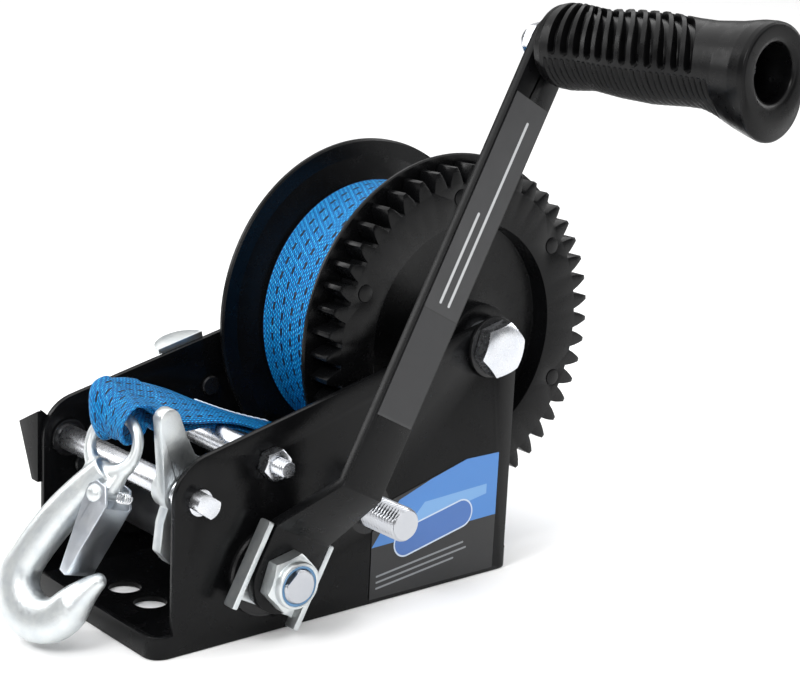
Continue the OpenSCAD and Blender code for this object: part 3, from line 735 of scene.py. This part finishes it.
def build_hook():
    b = Build()
    line = hook_line()
    m = 32
    rows = []
    for i, (x, z, r) in enumerate(line):
        x0, z0, _ = line[max(i - 1, 0)]
        x1, z1, _ = line[min(i + 1, len(line) - 1)]
        l = math.hypot(x1 - x0, z1 - z0)
        sx, sz = -(z1 - z0) / l, (x1 - x0) / l
        flat = min(r, 8.2)
        row = []
        for k in range(m):
            a = TAU * k / m
            c, w = math.cos(a), math.sin(a)
            # a forged section: rounder outside, flatter on the two faces
            p = 0.84
            c = math.copysign(abs(c) ** p, c)
            w = math.copysign(abs(w) ** p, w)
            q = 0.965
            row.append(hook_at(x + sx * r * c * q, -flat * w * q, z + sz * r * c * q))
        rows.append(row)
    b.grid(rows)
    # shoulders from the ring to the shank: two ends (x, z) and the radius at each
    shoulders = ((-8.5, -11, -7.5, -24, 3.2, 6.8), (8.0, -11.5, 2.0, -24, 3.0, 5.8),
                 (0, -14.5, -3, -26, 4.6, 7.6))
    for x0, z0, x1, z1, r0, r1 in shoulders:
        rows = []
        for i in range(15):
            t = i / 14
            cap = math.sqrt(max(0.02, 1 - (2 * t - 1) ** 8))
            q = (r0 + (r1 - r0) * t) * cap
            thick = min(q, 7.2)
            rows.append([hook_at(x0 + (x1 - x0) * t + q * math.cos(TAU * k / 24),
                                 thick * math.sin(TAU * k / 24), z0 + (z1 - z0) * t) for k in range(24)])
        b.grid(rows)
    rows = []
    for i in range(72):
        a = TAU * i / 72
        # the ring thickens towards the neck
        low = max(0.0, -math.sin(a))
        s = EYE_STOCK * (1.0 + 0.72 * low ** 2)
        row = []
        for k in range(20):
            t = TAU * k / 20
            r = EYE_R + s * math.cos(t)
            row.append(hook_at(r * math.cos(a), s * math.sin(t), r * math.sin(a) - EYE_DROP))
        rows.append(row)
    b.loop(rows)
    obj = b.make("forged_hook", CASTING, "hook", "zinc_casting", ("hook",))
    remesh = obj.modifiers.new("fuse", "REMESH")
    remesh.mode = "VOXEL"
    remesh.voxel_size = 0.0006
    remesh.use_smooth_shade = True
    relax = obj.modifiers.new("relax", "SMOOTH")
    relax.factor = 0.5
    relax.iterations = 9
    return obj


build_hook()


def latch_rivet():
    b = Build()
    c = (2.5, -23.5)
    head = [(0.3, 11.4), (2.2, 11.1), (3.6, 10.2), (3.9, 9.6), (2.5, 9.55)]
    profile = head + [(r, -y) for r, y in reversed(head)]
    rows = []
    for r, y in profile:
        rows.append([hook_at(c[0] + r * math.cos(TAU * k / 40), y, c[1] + r * math.sin(TAU * k / 40))
                     for k in range(40)])
    b.grid(rows)
    b.make("latch_rivet_domed", CASTING, "hook", "zinc_fastener", ("latch_rivet",), angle=45)


latch_rivet()


def latch_spring():
    b = Build()
    c = (2.5 + 9.0, -23.5)
    pts = []
    for i in range(81):
        a = TAU * 4 * i / 80 + 0.6
        pts.append(hook_at(c[0] + 2.1 * math.cos(a), -2.9 + 5.8 * i / 80, c[1] + 2.1 * math.sin(a)))
    tube(b, pts, 0.5 * MM, 10)
    b.make("latch_coil_spring", WIRE, "hook", "spring_wire", ("latch_spring",))


latch_spring()


# ---------------------------------------------------------------------- strap

ROLL_LO, ROLL_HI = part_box("strap_roll")
ROLL_R = (ROLL_HI.x - ROLL_LO.x) / 2
LAYER = 1.45 * MM


def strap_roll():
    """The wound strap as one ring: each turn's edge stands a little off to one side, as wound cloth does."""
    inner = 32 * MM
    turns = int((ROLL_R - inner) / LAYER)
    y0, y1 = ROLL_LO.y, ROLL_HI.y
    seg = 160
    half = (y1 - y0) / 2
    cy = (y0 + y1) / 2
    offs = [0.35 * MM * math.sin(2.1 * k) + 0.25 * MM * math.sin(5.3 * k) for k in range(turns + 1)]
    profile = []
    for k in range(turns):
        r0 = inner + k * LAYER
        for t in (0.06, 0.3, 0.7, 0.94):
            w = half - 0.9 * MM + 0.45 * MM * math.sin(math.pi * t) + offs[k]
            profile.append((r0 + t * LAYER, cy - w))
    r_out = inner + turns * LAYER
    across = 22
    for i in range(across + 1):
        t = i / across * 2 - 1
        edge = 1 - abs(t) ** 8
        profile.append((min(r_out, ROLL_R) - 0.5 * MM * (1 - edge), cy + t * (half - 0.7 * MM)))
    for k in reversed(range(turns)):
        r0 = inner + k * LAYER
        for t in (0.94, 0.7, 0.3, 0.06):
            w = half - 0.9 * MM + 0.45 * MM * math.sin(math.pi * t) - offs[k]
            profile.append((r0 + t * LAYER, cy + w))
    verts, faces, uvs = [], [], []
    n = len(profile)
    for i in range(seg):
        a = TAU * i / seg
        for r, y in profile:
            verts.append((DRUM[0] + r * math.cos(a), y, DRUM[1] + r * math.sin(a)))
    for i in range(seg):
        j = (i + 1) % seg
        for k in range(n):
            m = (k + 1) % n
            faces.append((i * n + k, i * n + m, j * n + m, j * n + k))
            u0, u1 = TAU * i / seg * ROLL_R, TAU * (i + 1) / seg * ROLL_R
            va, vb = profile[k][1] - cy, profile[m][1] - cy
            if abs(vb - va) < 0.2 * MM:
                va = profile[k][0]
                vb = profile[m][0]
            uvs.extend([(u0, va), (u0, vb), (u1, vb), (u1, va)])
    mesh = bpy.data.meshes.new("strap_roll_wound")
    mesh.from_pydata(verts, [], faces)
    layer = mesh.uv_layers.new(name="weave")
    layer.data.foreach_set("uv", [c for p in uvs for c in p])
    mesh.update()
    obj = place("strap_roll_wound", mesh, WEB, "drum", "blue_webbing", ("strap_roll",))
    return obj


strap_roll()


def bezier_points(stops, per=10):
    """Catmull-Rom through stops of equal-length tuples."""
    s = [np.array(p, float) for p in stops]
    s = [2 * s[0] - s[1]] + s + [2 * s[-1] - s[-2]]
    out = []
    for i in range(1, len(s) - 2):
        p0, p1, p2, p3 = s[i - 1:i + 3]
        for k in range(per):
            t = k / per
            square = (2 * p0 - 5 * p1 + 4 * p2 - p3) * t * t
            cube = (3 * p1 - p0 - 3 * p2 + p3) * t ** 3
            out.append(0.5 * (2 * p1 + (p2 - p0) * t + square + cube))
    out.append(s[-2])
    return out


def ribbon(name, path, side_of, width_of, thick, body, slot, replaces=(), across=24, crown=None):
    """A woven band with a rounded edge: path is its centre line in metres, side_of the way it is wide."""
    pts = [Vector(p) for p in path]
    verts, faces, uvs = [], [], []
    run = [0.0]
    for a, c in zip(pts, pts[1:]):
        run.append(run[-1] + (c - a).length)
    n = len(pts)
    prof = []
    for i in range(across + 1):
        t = i / across * 2 - 1
        prof.append((t, 1))
    for i in range(across + 1):
        t = 1 - i / across * 2
        prof.append((t, -1))
    m = len(prof)
    for i, p in enumerate(pts):
        t = (pts[min(i + 1, n - 1)] - pts[max(i - 1, 0)]).normalized()
        side = Vector(side_of(i, run[i] / run[-1])).normalized()
        side = (side - t * side.dot(t)).normalized()
        up = side.cross(t).normalized()
        w = width_of(i, run[i] / run[-1])
        h = thick / 2
        for s, top in prof:
            e = max(0.0, 1 - abs(s) ** 14)
            lift = crown(i, run[i] / run[-1], s) if crown else 0.0
            verts.append(p + side * (w / 2 * s) + up * (top * h * (0.25 + 0.75 * e) + lift))
    for i in range(n - 1):
        for k in range(m):
            j = (k + 1) % m
            faces.append((i * m + k, (i + 1) * m + k, (i + 1) * m + j, i * m + j))
            va, vb = prof[k][0] * 0.025, prof[j][0] * 0.025
            ua, ub = run[i], run[i + 1]
            uvs.extend([(ua, va), (ub, va), (ub, vb), (ua, vb)])
    faces.append(tuple(range(m)))
    uvs.extend([(run[0], prof[k][0] * 0.025) for k in range(m)])
    faces.append(tuple((n - 1) * m + k for k in reversed(range(m))))
    uvs.extend([(run[-1], prof[k][0] * 0.025) for k in reversed(range(m))])
    mesh = bpy.data.meshes.new(name)
    mesh.from_pydata(verts, [], faces)
    layer = mesh.uv_layers.new(name="weave")
    layer.data.foreach_set("uv", [c for q in uvs for c in q])
    mesh.update()
    return place(name, mesh, WEB, body, slot, replaces)


AH = DRUM[1] / MM
# centre, width, turn about Z, fall of the near edge, in millimetres and degrees
LEAD = [
    (-21.5, 13, AH - 66.2, 48, 0, 0),
    (-55, 12, AH - 54.8, 46, 0, 0),
    (-90, 9, AH - 42.4, 42, 1, 1),
    (-118, 3.5, AH - 30.0, 40, 3, 2),
    (-136, -2.5, AH - 22.5, 36, 6, 7),
    (-152, -8.5, AH - 17.5, 33, 10, 13),
    (-166, -13.5, AH - 13, 31, 14, 15),
    (-176, -17.2, AH - 9.2, 29, 18, 12),
]


def lead_side(turn, fall, width):
    a = math.radians(turn)
    return Vector((-math.sin(a), math.cos(a), fall / max(width, 1)))


def strap_lead():
    """The strap's run from the drum over the front, down through the hook's eye and back under itself."""
    stops = list(LEAD)
    # over the front of the eye's ring, down, through the eye and back up behind
    loop = [(1.0, 20.8, 27.5, 10), (-5.8, 18.4, 25.5, 7), (-8.2, 12.0, 20.5, 4), (-6.8, 5.0, 16.5, 1),
            (0.0, 0.4, 14.5, 0), (6.8, 5.0, 16.0, 1), (8.2, 11.5, 19.0, 6)]
    for out, z, w, fall in loop:
        p = hook_at(0, out, z) / MM
        stops.append((p.x, p.y, p.z, w, 20, fall))
    back = [(-169, -14.8, AH - 18.4, 22, 15, 13), (-156, -10.0, AH - 21.4, 26, 11, 12),
            (-141, -4.4, AH - 24.4, 30, 7, 7), (-124, 1.5, AH - 30.6, 35, 4, 2),
            (-106, 6.0, AH - 38.2, 39, 2, 1)]
    stops += back
    pts = bezier_points(stops, 8)
    path = [Vector(p[:3]) * MM for p in pts]
    turns = [(p[3], p[4], p[5]) for p in pts]

    def side(i, u):
        w, turn, fall = turns[i]
        return lead_side(turn, fall, w)

    def width(i, u):
        return turns[i][0] * MM

    def crown(i, u, s):
        # the band bunches: it bows across its width where it narrows
        squeeze = max(0.0, 1 - turns[i][0] / 46)
        way = 1 if u < 0.5 else -1
        bow = (math.cos(s * math.pi * 0.5) - 0.5) * 3.2 * MM
        ripple = math.sin(s * 9 + i * 0.05) * 0.35 * MM
        return way * squeeze * (bow + ripple)

    ribbon("strap_lead_woven", path, side, width, 2.3 * MM, "frame", "blue_webbing",
           ("strap_lead",), 40, crown)
    return pts


LEAD_PTS = strap_lead()


def stitches():
    """Pale thread zigzagging along the strap's far edge where the loop is sewn shut."""
    b = Build()
    n = len(LEAD_PTS)
    pts = []
    for i in range(n // 2):
        x, _, _, w, turn, fall = LEAD_PTS[i]
        if not -116 < x < -68:
            continue
        s = lead_side(turn, fall, w).normalized()
        for k in range(2):
            x1, y1, z1 = (LEAD_PTS[i][j] + (LEAD_PTS[i + 1][j] - LEAD_PTS[i][j]) * k / 2 for j in range(3))
            c = Vector((x1, y1, z1)) * MM
            pts.append(c + s * ((w * 0.5 - (2.4 if k else 5.2)) * MM) + Vector((0, 0, 1.25 * MM)))
    for p, q in zip(pts, pts[1:]):
        tube(b, [p, (p + q) / 2 + Vector((0, 0, 0.25 * MM)), q], 0.33 * MM, 6)
    b.make("strap_stitching", THREAD, "frame", "blue_webbing")


stitches()


# ----------------------------------------------------------------------- grip

def crank_grip():
    """Moulded grip: deep slots that arch over the top, fine ribs below, and a flared end with a lobe."""
    lo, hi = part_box("crank_grip")
    y0, length = hi.y, (hi.y - lo.y) / MM
    knots = [(0, 15.6), (0.6, 16.4), (2, 17.9), (6, 18.8), (12, 19.0), (26, 17.6), (42, 18.9),
             (60, 19.4), (78, 18.2), (88, 18.0),
             (102, 19.0), (112, 20.4), (117, 20.5), (119.2, 20.2), (120, 19.4)]
    lobe = [(88, 9.0), (96, 11.5), (106, 15.0), (114, 17.4), (118, 18.4), (119.3, 18.3), (120, 17.6)]
    ks, kr = zip(*knots)
    ls, lr = zip(*lobe)
    drop = 9.3
    end_angle = math.radians(112)
    crown = math.radians(75)
    n_a, n_y = ((240, 620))

    def off(a):
        return abs(math.atan2(math.sin(a - crown), math.cos(a - crown)))

    def arch(a):
        u = max(0.0, 1 - off(a) / end_angle)
        return 24.0 * u ** 2.2

    def warp(t):
        return min(1.0, t / 42) * min(1.0, max(0.0, (120 - t) / 27))

    def radius(t, s, a):
        r = float(np.interp(s, ks, kr))
        if s > 88:
            big = float(np.interp(s, ls, lr))
            c = -drop * math.sin(a)
            under = big * big - drop * drop + c * c
            if under > 0:
                q = c + math.sqrt(under)
                # rounded join of the two outlines
                h = max(0.0, min(1.0, 0.5 + 0.5 * (q - r) / 2.6))
                r = r * (1 - h) + q * h + 1.3 * h * (1 - h)
        gap = off(a)
        if 7 < t < 96:
            k = round((t - 13.5) / 6.95)
            if 0 <= k <= 11:
                along = abs(t - 13.5 - 6.95 * k)
                beyond = max(0.0, (gap - end_angle) * 18 + 1.9)
                d = math.hypot(along, beyond)
                x = min(1.0, max(0.0, (2.25 - d) / 0.6))
                r -= 3.3 * x * x * (3 - 2 * x)
        if gap > end_angle + 0.1:
            edge = min(1.0, (gap - end_angle - 0.1) / 0.06)
            ends = max(0.0, min(1.0, (s - 7) / 2, (101 - s) / 2))
            f = 0.5 + 0.5 * math.cos(TAU * (s - 8) / 3.2)
            r -= 1.35 * (1 - f ** 0.5) * edge * ends
        return r * MM

    rows = []
    for i in range(n_y + 1):
        t = i / n_y * length
        row = []
        for k in range(n_a):
            a = TAU * k / n_a
            s = t - arch(a) * warp(t)
            q = radius(t, s, a)
            row.append((GRIP[0] + q * math.cos(a), y0 - s * MM, GRIP[1] + q * math.sin(a)))
        rows.append(row)
    cup_r, cup_d = 12.0, 22.0
    for r, s in ((18.6, 120), (14.6, 120), (13.2, 119.7), (12.2, 118.8), (cup_r, 117.6), (cup_r, 120 - cup_d),
                 (5.15, 120 - cup_d), (5.15, 0), (11.0, 0)):
        rows.append(ring(GRIP, y0 - s * MM, r * MM, n_a))
    b = Build()
    b.loop(rows)
    return b.make("crank_grip_moulded", GRIP_PLASTIC, "grip", "black_grip", ("crank_grip",), angle=50)


crank_grip()


# --------------------------------------------------------------------- labels

side = NODES["side_label"]
side_print = label_material("side label print", (0.004, 0.0043, 0.005), [
    ((0.055, 0.2, 0.52), half_planes([(-70, 28), (9, 30), (9, 62), (-12, 62), (-34, 56), (-54, 49)])),
    ((0.16, 0.34, 0.62), half_planes([(-50, 33), (2, 42), (2, 47), (-38, 45)])),
    ((0.5, 0.58, 0.7), pill((-49, 27), (-14, 34.5), 6.6, 7.4)),
    ((0.05, 0.14, 0.4), pill((-49, 27), (-14, 34.5), 0.0, 6.6)),
    ((0.2, 0.21, 0.22), pill((-66, 13), (-12, 19.5), 0.0, 0.5)),
    ((0.2, 0.21, 0.22), pill((-66, 10), (-10, 16.5), 0.0, 0.5)),
    ((0.2, 0.21, 0.22), pill((-66, 7), (-18, 12.5), 0.0, 0.5)),
])
side.data.materials.clear()
side.data.materials.append(side_print)
arm_label = NODES["arm_label"]
a0 = math.radians(62.3)
ux, uz = math.cos(a0), math.sin(a0)
ix, iz = INPUT[0] / MM, INPUT[1] / MM


def arm_pt(s, w):
    return (ix + ux * s - uz * w, iz + uz * s + ux * w)


def arm_band(start, end):
    """The stretch of the label between two distances from the crank shaft, over its whole width."""
    return half_planes([arm_pt(start, -12), arm_pt(end, -12), arm_pt(end, 12), arm_pt(start, 12)])


arm_print = label_material("grey label print", (0.021, 0.0215, 0.023), [
    ((0.011, 0.0115, 0.013), arm_band(83, 133)),
    ((0.003, 0.003, 0.003), arm_band(132.6, 133.1)),
    ((0.45, 0.46, 0.47), pill(arm_pt(138, 3), arm_pt(180, 3), 0.0, 0.75)),
    ((0.45, 0.46, 0.47), pill(arm_pt(138, -2.5), arm_pt(226, -2.5), 0.0, 0.75)),
], 0.36)
arm_label.data.materials.clear()
arm_label.data.materials.append(arm_print)


# ------------------------------------------------------- camera, floor, lights

def look(azimuth, elevation, roll, place_at, lens):
    a, e, r = (math.radians(v) for v in (azimuth, elevation, roll))
    back = Vector((math.sin(a) * math.cos(e), -math.cos(a) * math.cos(e), math.sin(e)))
    right0 = Vector((math.cos(a), math.sin(a), 0))
    up0 = back.cross(right0)
    right = math.cos(r) * right0 + math.sin(r) * up0
    up = -math.sin(r) * right0 + math.cos(r) * up0
    data = bpy.data.cameras.new("camera")
    data.lens = lens
    data.sensor_width = 36
    data.clip_start, data.clip_end = 0.05, 50
    cam = bpy.data.objects.new("camera", data)
    cam.matrix_world = Matrix(((right.x, up.x, back.x, place_at[0]), (right.y, up.y, back.y, place_at[1]),
                               (right.z, up.z, back.z, place_at[2]), (0, 0, 0, 1)))
    bpy.context.scene.collection.objects.link(cam)
    bpy.context.scene.camera = cam


look(-40.889, 14.141, 2.823, (-0.5851, -0.6655, 0.3271), 81.48)


def floor():
    mesh = bpy.data.meshes.new("floor")
    s, z = 30.0, -0.0003
    mesh.from_pydata([(-s, -s, z), (s, -s, z), (s, s, z), (-s, s, z)], [], [(0, 1, 2, 3)])
    obj = bpy.data.objects.new("floor", mesh)
    bpy.context.scene.collection.objects.link(obj)
    m, nt, s_ = new_material("floor")
    v = coords(nt)
    pale = ramp(nt, noise_tex(nt, v, 3, 2), [(0.3, grey(0.9)), (0.7, grey(0.93))])
    nt.links.new(pale, s_.inputs["Base Color"])
    s_.inputs["Roughness"].default_value = 0.7
    mesh.materials.append(m)


floor()


def area(name, at, target, size, power, size_y=None, tint=(1, 1, 1)):
    data = bpy.data.lights.new(name, "AREA")
    data.shape = "RECTANGLE"
    data.size = size
    data.size_y = size_y or size
    data.energy = power
    data.color = tint
    obj = bpy.data.objects.new(name, data)
    obj.location = at
    obj.rotation_mode = "QUATERNION"
    obj.rotation_quaternion = (Vector(target) - Vector(at)).to_track_quat("-Z", "Y")
    bpy.context.scene.collection.objects.link(obj)


AIM = (-0.08, -0.03, 0.1)
area("overhead", (0.6, 1.2, 6.0), (0.6, 1.2, 0), 16, 1230, 16)
area("key", (-1.25, -0.35, 1.05), AIM, 0.5, 13, 0.5)
area("front_strip", (-0.75, -1.75, 0.7), AIM, 0.25, 5, 1.1)
area("rim_right", (1.3, -0.7, 0.8), AIM, 0.3, 7, 1.1)
area("back_left", (-0.9, 1.3, 0.8), AIM, 0.5, 7, 0.9)

world = bpy.data.worlds.new("studio")
bpy.context.scene.world = world
world.use_nodes = True
background = world.node_tree.nodes["Background"]
background.inputs[0].default_value = (1.0, 1.0, 1.0, 1)
background.inputs[1].default_value = 0.22
bpy.context.scene.view_settings.view_transform = "Standard"
